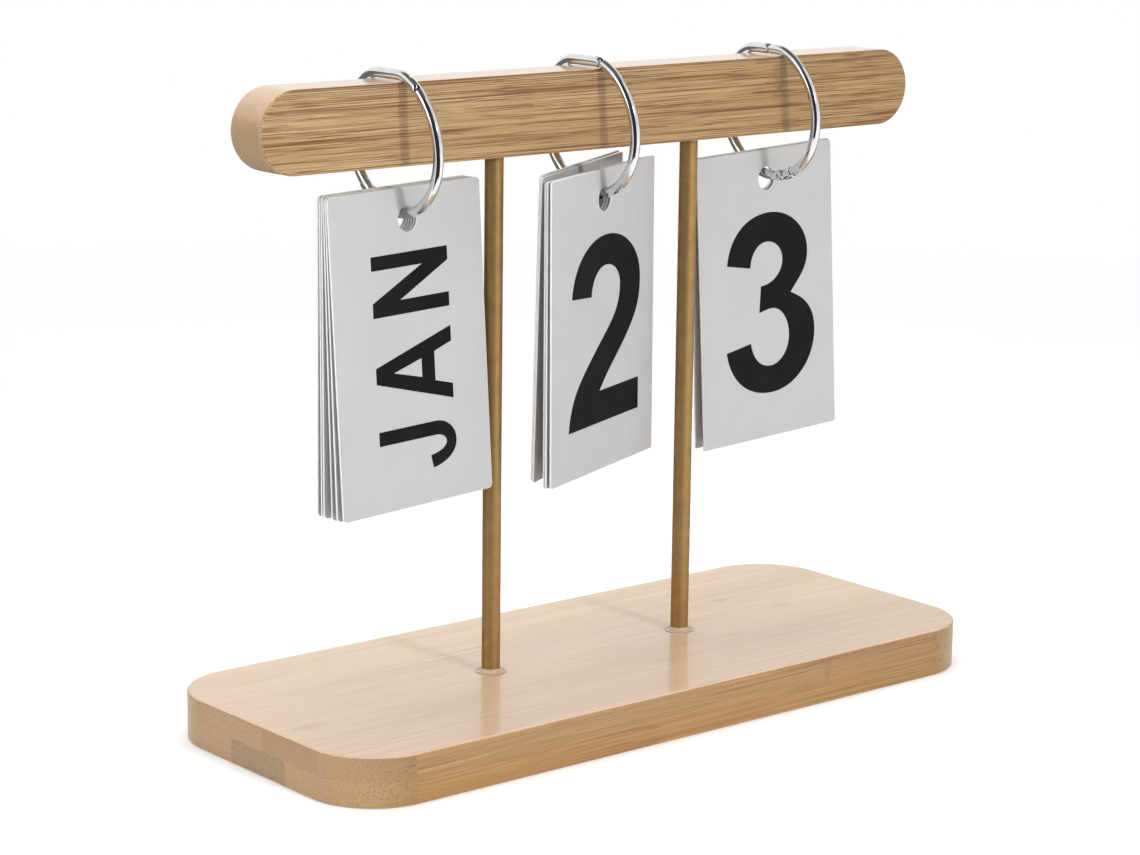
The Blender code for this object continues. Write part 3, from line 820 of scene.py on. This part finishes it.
def make_ring(side):
    name = "ring_" + side
    hinge = radians(RINGS[side]["hinge"])
    way = RINGS[side]["way"]
    turn = radians(way * (RINGS[side]["closure"] - RINGS[side]["hinge"]))
    low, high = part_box("ring_" + side + "_pin")
    centre = (low + high) / 2 - LEAN @ wire_point(hinge, 0, 0)
    make_fixed_half(name, turn, hinge, way, centre)
    make_opening_half(name, tau - turn, hinge, -way, centre)
    reach = KNUCKLE_RADIUS - PIN_INSET
    pin = turned(name + "_pin_dressed", pin_profile(PIN_RADIUS, -reach, reach, PIN_CHAMFER), "pin")
    pin.matrix_world = hinge_place(hinge, centre) @ SIDEWAYS
    stand_for(pin, name + "_pin", name)


# Lettering

# Capitals in millimetres: their height, upright and level strokes, the lower edge of a top
# stroke, and how far round letters reach past the others
CAP = 24.3
STEM = 3.35
BAR = 3.2
EDGE = CAP - BAR
OVER = 0.36


def bowl(left, right, bottom, top, straight):
    """A closed round shape with straight sides."""
    centre = (left + right) / 2
    low = (bottom + top - straight) / 2
    high = low + straight
    return [(centre, top, 0), (right, high, 270), (right, low, 270),
            (centre, bottom, 180), (left, low, 90), (left, high, 90)]


def counter(bottom, top, turn, right, height):
    """The opening between a letter's stem and a round stroke."""
    return [(STEM, bottom), (STEM, top), (turn, top, None, 0), (right, height, 270),
            (turn, bottom, 180, None)]


def flipped(contours, width, height):
    """The same glyph turned half round."""
    return [[(width - x, height - y, *[None if a is None else (a + 180) % 360 for a in angles])
             for x, y, *angles in contour] for contour in contours]


# Each glyph: its width in millimetres, then its outlines. A point is x and y, and on a curve the
# outline's direction there in degrees, or the two in which it comes in and goes out.
ROUND_BACK = [(7.4, CAP + OVER, 180), (0, 16.4, 270), (0, 7.9, 270), (7.4, -OVER, 0)]
ROUND_INSIDE = [(7.4, 2.9, 180), (STEM, 7.9, 90), (STEM, 16.4, 90), (7.4, 21.4, 0)]
LETTERS = {
    "A": (17.3, [
        [(0, 0), (6.56, CAP), (10.3, CAP), (17.3, 0), (13.56, 0), (11.9, 5.6), (4.96, 5.6), (3.5, 0)],
        [(6.35, 9.8), (10.8, 9.8), (8.5, 18.7)],
    ]),
    "B": (14.1, [
        [(0, 0), (0, CAP), (7.4, CAP, None, 0), (13.3, 18.1, 270), (10.6, 12.9, 222, None),
         (14.1, 6.8, 270), (7.6, 0, 180, None)],
        counter(14.2, EDGE, 7.2, 9.95, 17.7),
        counter(BAR, 11.0, 7.4, 10.75, 7.1),
    ]),
    "C": (14.2, [[
        (14.2, 16.8, None, 96), *ROUND_BACK, (14.2, 7.5, 84, None), (10.9, 7.9, None, 264),
        *ROUND_INSIDE, (10.9, 16.4, 276, None)]]),
    "D": (14.3, [
        [(0, 0), (0, CAP), (6.6, CAP, None, 0), (14.3, 16.4, 270), (14.3, 7.9, 270),
         (6.6, 0, 180, None)],
        [(STEM, BAR), (STEM, EDGE), (6.4, EDGE, None, 0), (10.95, 16.2, 270), (10.95, 8.1, 270),
         (6.4, BAR, 180, None)],
    ]),
    "E": (12.2, [[
        (0, 0), (0, CAP), (12.2, CAP), (12.2, EDGE), (STEM, EDGE), (STEM, 14.1), (11.0, 14.1),
        (11.0, 10.9), (STEM, 10.9), (STEM, BAR), (12.2, BAR), (12.2, 0)]]),
    "F": (11.9, [[
        (0, 0), (0, CAP), (11.9, CAP), (11.9, EDGE), (STEM, EDGE), (STEM, 13.7), (10.6, 13.7),
        (10.6, 10.5), (STEM, 10.5), (STEM, 0)]]),
    "G": (14.5, [[
        (14.3, 16.8, None, 96), *ROUND_BACK, (14.5, 7.3, 90), (14.5, 13.0), (7.6, 13.0), (7.6, 9.9),
        (11.1, 9.9), (11.1, 7.5, None, 270), *ROUND_INSIDE, (11.0, 16.4, 276, None)]]),
    "J": (11.0, [[
        (7.65, CAP), (11.0, CAP), (11.0, 6.2, 270), (5.7, -OVER, 180), (0, 7.4, 98, None),
        (3.06, 8.17, None, 278), (5.7, 2.85, 0), (7.65, 6.2, 90)]]),
    "L": (11.6, [[(0, 0), (0, CAP), (STEM, CAP), (STEM, BAR), (11.6, BAR), (11.6, 0)]]),
    "M": (17.6, [[
        (0, 0), (0, CAP), (3.5, CAP), (8.8, 12.9), (14.1, CAP), (17.6, CAP), (17.6, 0), (14.3, 0),
        (14.3, 17.4), (10.1, 8.4), (7.5, 8.4), (3.3, 17.4), (3.3, 0)]]),
    "N": (14.2, [[
        (0, 0), (0, CAP), (3.4, CAP), (10.9, 8.3), (10.9, CAP), (14.2, CAP), (14.2, 0), (10.9, 0),
        (3.35, 15.6), (3.35, 0)]]),
    "O": (15.0, [bowl(0, 15.0, -OVER, CAP + OVER, 8.6), bowl(STEM, 15.0 - STEM, 2.9, 21.4, 8.6)]),
    "P": (14.0, [
        [(0, 0), (0, CAP), (7.4, CAP, None, 0), (14.0, 17.2, 270), (7.4, 10.1, 180, None), (STEM, 10.1),
         (STEM, 0)],
        counter(13.3, EDGE, 7.2, 10.65, 17.2),
    ]),
    "R": (14.6, [
        [(0, 0), (0, CAP), (7.6, CAP, None, 0), (14.1, 17.3, 270), (10.3, 10.9, 200, None), (14.6, 0),
         (10.9, 0), (7.0, 10.2), (STEM, 10.2), (STEM, 0)],
        counter(13.3, EDGE, 7.2, 10.75, 17.2),
    ]),
    "S": (13.8, [[
        (13.1, 17.6, None, 98), (7.0, CAP + OVER, 180), (0.4, 17.6, 270), (6.3, 11.0, 338),
        (10.4, 6.9, 270), (7.0, 2.9, 180), (3.35, 7.2, 96, None), (0, 6.8, None, 276), (7.0, -OVER, 0),
        (13.8, 7.1, 90), (7.6, 14.0, 158), (3.75, 17.7, 90), (7.0, 21.4, 0), (9.8, 17.2, 278, None)]]),
    "T": (14.2, [[
        (5.4, 0), (5.4, EDGE), (0, EDGE), (0, CAP), (14.2, CAP), (14.2, EDGE), (8.8, EDGE), (8.8, 0)]]),
    "U": (14.4, [[
        (0, CAP), (STEM, CAP), (STEM, 7.6, 270), (7.2, 2.9, 0), (11.05, 7.6, 90), (11.05, CAP),
        (14.4, CAP), (14.4, 7.4, 270), (7.2, -OVER, 180), (0, 7.4, 90)]]),
    "V": (16.4, [[(6.5, 0), (0, CAP), (3.6, CAP), (8.2, 6.4), (12.8, CAP), (16.4, CAP), (9.9, 0)]]),
    "Y": (16.2, [[
        (6.45, 0), (6.45, 9.6), (0, CAP), (3.8, CAP), (8.1, 13.8), (12.4, CAP), (16.2, CAP), (9.8, 9.6),
        (9.8, 0)]]),
}
SIX = [[(16.6, 46.5), (27.4, 46.5), (19.2, 31.4, None, 352), (32.5, 15.8, 270),
        (16.25, -0.5, 180), (0, 15.4, 90), (3.1, 24.9, 62)],
       bowl(9.2, 23.3, 7.3, 23.4, 0.6)]
DIGITS = {
    "0": (32.5, [bowl(0, 32.5, -0.5, 47.0, 15.5), bowl(9.3, 23.2, 7.3, 39.2, 15.5)]),
    "1": (21.6, [[
        (12.2, 0), (21.6, 0), (21.6, 46.5), (12.6, 46.5), (0.6, 37.5), (0.6, 27.6), (12.2, 35.9)]]),
    "2": (33.5, [[
        (0, 0), (33.0, 0), (33.0, 8.0), (14.4, 8.0, None, 50), (27.8, 20.6, 46), (33.5, 33.4, 90),
        (17.4, 46.5, 180), (1.3, 32.8, 264, None), (10.35, 32.0, None, 84), (17.1, 39.0, 0),
        (23.8, 33.3, 270), (12.4, 18.2, 221), (0, 0, 264, None)]]),
    "3": (32.2, [[
        (0.8, 34.4, None, 82), (16.0, 46.5, 0), (30.0, 35.2, 270), (23.6, 24.8, 226, 338),
        (32.2, 14.2, 270), (16.0, -0.5, 180), (0, 12.0, 98, None), (8.75, 13.3, None, 278),
        (15.8, 6.6, 0), (22.7, 14.0, 90), (16.5, 21.5, 180), (12.0, 20.8, 192, None),
        (12.8, 27.7, None, 0), (20.8, 33.9, 90), (15.1, 39.0, 180), (9.1, 32.8, 264, None)]]),
    "4": (33.0, [[
        (0, 9.0), (0, 17.0), (15.0, 46.5), (24.8, 46.5), (10.0, 17.0), (18.2, 17.0), (18.2, 27.0),
        (27.0, 27.0), (27.0, 17.0), (33.0, 17.0), (33.0, 9.0), (27.0, 9.0), (27.0, 0), (18.2, 0),
        (18.2, 9.0)]]),
    "5": (32.5, [[
        (2.4, 46.5), (29.6, 46.5), (29.6, 38.5), (10.5, 38.5), (10.1, 28.9, None, 30), (18.3, 31.0, 0),
        (32.5, 15.4, 270), (16.2, -0.5, 180), (0, 11.8, 98, None), (8.9, 13.0, None, 278),
        (16.0, 6.8, 0), (23.2, 15.1, 90), (16.3, 23.4, 180), (9.5, 20.4, 222, None), (1.5, 20.4)]]),
    "6": (32.5, SIX),
    "7": (32.0, [[
        (0, 46.5), (32.0, 46.5), (32.0, 38.5), (15.8, 0), (5.8, 0), (21.8, 38.5), (8.6, 38.5),
        (8.6, 32.8), (0, 32.8)]]),
    "8": (32.5, [
        [(16.25, 47.0, 0), (30.4, 35.0, 270), (24.6, 24.6, 224, 332), (32.5, 13.4, 270),
         (16.25, -0.5, 180), (0, 13.4, 90), (7.9, 24.6, 28, 136), (2.1, 35.0, 90)],
        bowl(10.4, 22.1, 28.6, 39.6, 0.6),
        bowl(9.1, 23.4, 6.9, 20.9, 0.6),
    ]),
    "9": (32.5, flipped(SIX, 32.5, 46.5)),
}
MONTH_MIDDLE = 40.75
MONTH_BASELINE = 36.6
MONTH_GAP = 4.6
MONTH_LONGEST = 53.0
DIGIT_LEFT = {"middle": 8.0, "right": 8.8}
DIGIT_BASE = 62.7
DIGIT_WIDTH = 33.0
NARROW_DIGIT = 30.0
# How far a curve's handles reach on a straight line and on a quarter circle, of its chord
STRAIGHT_HANDLE = 1 / 3
ROUND_HANDLE = 0.5523
MOST_BEND = 1.2


def heading(angle, chord):
    """A direction in degrees as a vector, or the chord's own where there is none."""
    if angle is None:
        return chord.normalized()
    turn = radians(angle)
    return Vector((cos(turn), sin(turn)))


def traced(contour):
    """The points of an outline, with its curves drawn out."""
    points = []
    for here, there in zip(contour, contour[1:] + contour[:1]):
        start, end = Vector(here[:2]), Vector(there[:2])
        points.append(tuple(start))
        leaves = here[-1] if len(here) > 2 else None
        comes = there[2] if len(there) > 2 else None
        if leaves is None and comes is None:
            continue
        chord = end - start
        out = heading(leaves, chord)
        into = heading(comes, chord)
        bend = acos(max(-1.0, min(1.0, out.dot(into)))) / (pi / 2)
        reach = STRAIGHT_HANDLE + (ROUND_HANDLE - STRAIGHT_HANDLE) * min(bend, MOST_BEND)
        first = start + out * abs(chord.dot(out)) * reach
        second = end - into * abs(chord.dot(into)) * reach
        for step in range(1, CURVE_STEPS):
            t = step / CURVE_STEPS
            point = (start * (1 - t) ** 3 + first * 3 * t * (1 - t) ** 2
                     + second * 3 * t * t * (1 - t) + end * t ** 3)
            points.append(tuple(point))
    return points


def layout(text, pack):
    """A card's text as outlines, in millimetres from its lower left corner."""
    height = CARD_HEIGHT * MM_PER_M
    if text in DIGITS:
        width, contours = DIGITS[text]
        left = DIGIT_LEFT[pack]
        if width < NARROW_DIGIT:
            left += (DIGIT_WIDTH - width) / 2
        lift = height - DIGIT_BASE
        return [[(x + left, y + lift) for x, y in traced(contour)] for contour in contours]
    made = []
    total = sum(LETTERS[letter][0] for letter in text) + MONTH_GAP * (len(text) - 1)
    squeeze = min(1.0, MONTH_LONGEST / total)
    start = height - MONTH_MIDDLE - total * squeeze / 2
    for letter in text:
        width, contours = LETTERS[letter]
        for contour in contours:
            made.append([(MONTH_BASELINE - y, start + x * squeeze) for x, y in traced(contour)])
        start += (width + MONTH_GAP) * squeeze
    return made


def printed(name, text, pack, matrix, body_name, behind):
    """A card's text as a thin layer of ink on one face."""
    body = bmesh.new()
    edges = []
    side = 1 if behind else -1
    for outline in layout(text, pack):
        points = []
        for x, y in outline:
            across = -side * (x / MM_PER_M - CARD_WIDTH / 2) - CARD_HOLE_SHIFT
            up = CARD_HOLE_INSET - CARD_HEIGHT + y / MM_PER_M
            points.append(body.verts.new((across, side * CARD_THICKNESS / 2, up)))
        edges += [body.edges.new((points[i - 1], points[i])) for i in range(len(points))]
    filled = bmesh.ops.triangle_fill(body, edges=edges, use_beauty=True)
    faces = [item for item in filled["geom"] if isinstance(item, bmesh.types.BMFace)]
    swept = bmesh.ops.extrude_face_region(body, geom=faces, use_keep_orig=True)
    moved = [item for item in swept["geom"] if isinstance(item, bmesh.types.BMVert)]
    bmesh.ops.translate(body, verts=moved, vec=(0, side * INK_THICKNESS, 0))
    item = finished(name, body, ("ink",), smooth=False)
    item.matrix_world = matrix
    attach(item, body_name)


# Cards

def placed_axes(origin, *axes):
    return Matrix.Translation(origin) @ Matrix(axes).transposed().to_4x4()


def card_matrix(node):
    """Where a card's hole is and how the card is turned, from its CAD mesh."""
    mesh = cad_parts[node].data
    faces = sorted(mesh.polygons, key=lambda face: -face.area)
    front = Vector(faces[0].normal)
    depth_axis = front if front.y > 0 else -front
    sides = [face for face in faces if abs(face.normal.dot(depth_axis)) < 0.1]
    side = Vector(sides[0].normal)
    across_axis = side if side.x > 0 else -side
    across_axis = (across_axis - depth_axis * across_axis.dot(depth_axis)).normalized()
    up_axis = across_axis.cross(depth_axis)
    hole = across_axis * CARD_HOLE_SHIFT + up_axis * (CARD_HEIGHT / 2 - CARD_HOLE_INSET)
    for axis in (across_axis, depth_axis, up_axis):
        values = [vertex.co.dot(axis) for vertex in mesh.vertices]
        hole += axis * (min(values) + max(values)) / 2
    return placed_axes(hole, across_axis, depth_axis, up_axis)


def card(name, corner_radius, matrix):
    """A card with finely broken edges, its hole's centre at its origin."""
    body = bmesh.new()
    half = CARD_THICKNESS / 2
    steps = ((-half, CARD_EDGE), (CARD_EDGE - half, 0), (half - CARD_EDGE, 0), (half, CARD_EDGE))
    outer, inner = [], []
    for depth, inset in steps:
        x = CARD_WIDTH / 2 - inset
        low = CARD_HOLE_INSET - CARD_HEIGHT + inset
        outline = rounded_rectangle(-x - CARD_HOLE_SHIFT, x - CARD_HOLE_SHIFT, low,
                                    CARD_HOLE_INSET - inset, corner_radius - inset,
                                    CARD_CORNER_STEPS)
        hole = arc((0, 0), CARD_HOLE_RADIUS + inset, 0, 360, ROUND_SIDES)[:-1]
        outer.append([body.verts.new((x, depth, z)) for x, z in outline])
        inner.append([body.verts.new((x, depth, z)) for x, z in hole])
    # Edges and hole walls take the edge paper, which is painted paler than the faces as light.
    for loops in (outer, inner):
        for face in skinned(body, loops):
            face.material_index = 1
            face.smooth = True
    for level in (0, -1):
        edges = []
        for loops in (outer, inner):
            loop = loops[level]
            edges += [body.edges.get((loop[i - 1], loop[i])) for i in range(len(loop))]
        bmesh.ops.triangle_fill(body, edges=edges, use_beauty=True)
    item = finished(name, body, ("card", "card_edge_painted_light"), smooth=False)
    item.matrix_world = matrix
    return item


def make_cards():
    for pack, texts in PRINTS.items():
        corner_radius = CARD_CORNER_RADIUS * CORNER_SHARES[pack]
        for index, sides in enumerate(texts):
            node = f"{pack}_card_{index + 1}"
            matrix = card_matrix(node)
            stand_for(card(node + "_dressed", corner_radius, matrix), node, node)
            for behind, text in enumerate(sides):
                name = node + ("_back_print" if behind else "_front_print")
                printed(name, text, pack, matrix, node, behind)


# Camera, light and floor

# The photograph's own view, fitted to the boards and rods, its angles in radians
CAMERA_PLACE = (-0.481574, -0.5711846, 0.2293381)
CAMERA_YAW = 0.693817
CAMERA_PITCH = 0.2114988
CAMERA_ROLL = 0.0122696
CAMERA_LENS = 97.93

# The world's light, and how its reflection darkens overhead
FILL = 0.28
OVERHEAD_START = 0.70
OVERHEAD_END = 0.87
OVERHEAD_LEVEL = 0.14

# The floor turns into plain white from near to far, in millimetres
FLOOR_REACH = 6.0
FLOOR_DROP = 0.00005
FLOOR_GLOW = 0.24
FLOOR_NEAR = 260
FLOOR_FAR = 800

# Panels on a round path, seen only in reflections, so that metal isn't flat: start and end in
# degrees from the front, bottom, top and level. Those that stand on the floor have a skirt.
FLAGS = {
    "flag_front": (-81, -5, 0.001, 0.90, 0.03),
    "flag_right": (-5, 84, 0.14, 1.00, 0.80),
    "flag_edge": (84, 106, 0.001, 0.50, 0.16),
    "flag_rear": (106, 190, 0.001, 0.10, 0.14),
    "flag_left": (190, 262, 0.001, 0.24, 0.16),
}
FLAG_DISTANCE = 0.47
FLAG_SKIRT = 0.14
FLAG_STANDS = 0.01
FLAG_STEPS = 16


def make_camera():
    level = Vector((sin(CAMERA_YAW), cos(CAMERA_YAW), 0))
    forward = level * cos(CAMERA_PITCH) - Vector((0, 0, sin(CAMERA_PITCH)))
    right = Vector((level.y, -level.x, 0))
    up = right.cross(forward)
    lens = bpy.data.cameras.new("photo_camera")
    lens.sensor_fit = "HORIZONTAL"
    lens.sensor_width = 36.0
    lens.lens = CAMERA_LENS
    lens.clip_start = 0.01
    camera = placed("photo_camera", lens)
    tilt = Matrix.Rotation(CAMERA_ROLL, 4, "Z")
    camera.matrix_world = placed_axes(CAMERA_PLACE, right, up, -forward) @ tilt
    bpy.context.scene.camera = camera


def seen_rays(made):
    """1 for rays that show the background: from the camera, in metal and through glass."""
    path = made.node("LightPath").outputs
    seen = made.greater(path["Is Camera Ray"], path["Is Glossy Ray"])
    return made.greater(seen, path["Is Transmission Ray"])


def make_world():
    world = bpy.data.worlds.new("soft_studio")
    bpy.context.scene.world = world
    world.use_nodes = True
    made = Nodes(world.node_tree)
    direction = made.node("TexCoord").outputs["Generated"]
    height = made.node("SeparateXYZ", {0: direction}).outputs["Z"]
    overhead = made.span(height, OVERHEAD_START, OVERHEAD_END, 1.0, OVERHEAD_LEVEL, "LINEAR")
    camera = made.node("LightPath").outputs["Is Camera Ray"]
    strength = made.greater(overhead, camera)
    white = made.node("Background", {"Color": WHITE, "Strength": strength})
    fill = made.tree.nodes["Background"]
    made.put(fill.inputs["Color"], WHITE)
    made.put(fill.inputs["Strength"], FILL)
    both = made.node("MixShader", {0: seen_rays(made), 1: fill.outputs[0], 2: white.outputs[0]})
    made.put(made.tree.nodes["World Output"].inputs["Surface"], both.outputs[0])


def make_floor():
    body = bmesh.new()
    body.faces.new([body.verts.new((x * FLOOR_REACH, y * FLOOR_REACH, -FLOOR_DROP))
                    for x, y in ((-1, -1), (1, -1), (1, 1), (-1, 1))])
    made = Finish("floor_white")
    point = made.point()
    grain = made.span(made.noise(point, 0.02), *NOISE_SPAN)
    made.set(Base_Color=made.mix(grain, (0.82,) * 3, (0.80,) * 3), Roughness=0.9,
             Specular_IOR_Level=0.0)
    seen = seen_rays(made)
    glow = made.node("Emission", {"Color": WHITE, "Strength": made.times(seen, FLOOR_GLOW)})
    near = made.node("AddShader", {0: made.shader.outputs[0], 1: glow.outputs[0]})
    white = made.node("Emission", {"Color": WHITE, "Strength": 1.0})
    away = made.node("VectorMath", {0: point}, operation="LENGTH").outputs["Value"]
    share = made.times(seen, made.span(away, FLOOR_NEAR, FLOOR_FAR))
    both = made.node("MixShader", {0: share, 1: near.outputs[0], 2: white.outputs[0]})
    clear = made.node("BsdfTransparent")
    under = made.node("NewGeometry").outputs["Backfacing"]
    made.show(made.node("MixShader", {0: under, 1: both.outputs[0], 2: clear.outputs[0]}))
    MATERIALS["floor"] = made.material
    finished("studio_floor", body, ("floor",), smooth=False)


def add_light(name, place, aim_height, size, energy):
    lamp = bpy.data.lights.new(name, "AREA")
    lamp.shape = "RECTANGLE"
    lamp.size, lamp.size_y = size
    lamp.energy = energy
    item = placed(name, lamp)
    item.location = place
    aim = Vector((0, 0, aim_height)) - Vector(place)
    item.rotation_euler = aim.to_track_quat("-Z", "Y").to_euler()
    return item


def make_lights():
    add_light("key_front", (0.04, -1.05, 0.50), 0.10, (0.12, 0.12), 4.9)
    add_light("soft_left", (-1.15, -0.15, 0.50), 0.08, (0.7, 0.7), 4.3)
    for lamp in (
        add_light("soft_front", (-0.60, -1.30, 0.26), 0.10, (1.2, 0.5), 3.2),
        add_light("soft_top", (0.0, 0.10, 1.30), 0.08, (1.1, 0.9), 13.0),
    ):
        lamp.visible_glossy = False


def make_flag(name, start, end, bottom, top, level):
    body = bmesh.new()
    corners = [(FLAG_DISTANCE, bottom), (FLAG_DISTANCE, top)]
    if bottom < FLAG_STANDS:
        corners.insert(0, (FLAG_SKIRT, bottom))
    rails = []
    for distance, height in corners:
        path = arc((0, 0), distance, start - 90, end - 90, FLAG_STEPS)
        rails.append([body.verts.new((x, y, height)) for x, y in path])
    for near, far in zip(rails, rails[1:]):
        for index in range(FLAG_STEPS):
            body.faces.new((near[index], near[index + 1], far[index + 1], far[index]))
    made = Finish(name)
    cloth = made.span(made.noise(made.point(), 0.5), *NOISE_SPAN)
    tint = made.mix(cloth, (level,) * 3, (level * 1.1,) * 3)
    made.show(made.node("Emission", {"Color": tint, "Strength": 1.0}))
    MATERIALS[name] = made.material
    flag = finished(name, body, (name,), smooth=False)
    for kind in ("camera", "diffuse", "transmission", "volume_scatter", "shadow"):
        setattr(flag, "visible_" + kind, False)


make_camera()
make_world()
make_lights()
for flag_name, values in FLAGS.items():
    make_flag(flag_name, *values)
make_floor()
make_base()
make_bar()
make_rods()
make_glue()
for ring in RINGS:
    make_ring(ring)
make_cards()
bpy.context.scene.view_settings.view_transform = "Standard"
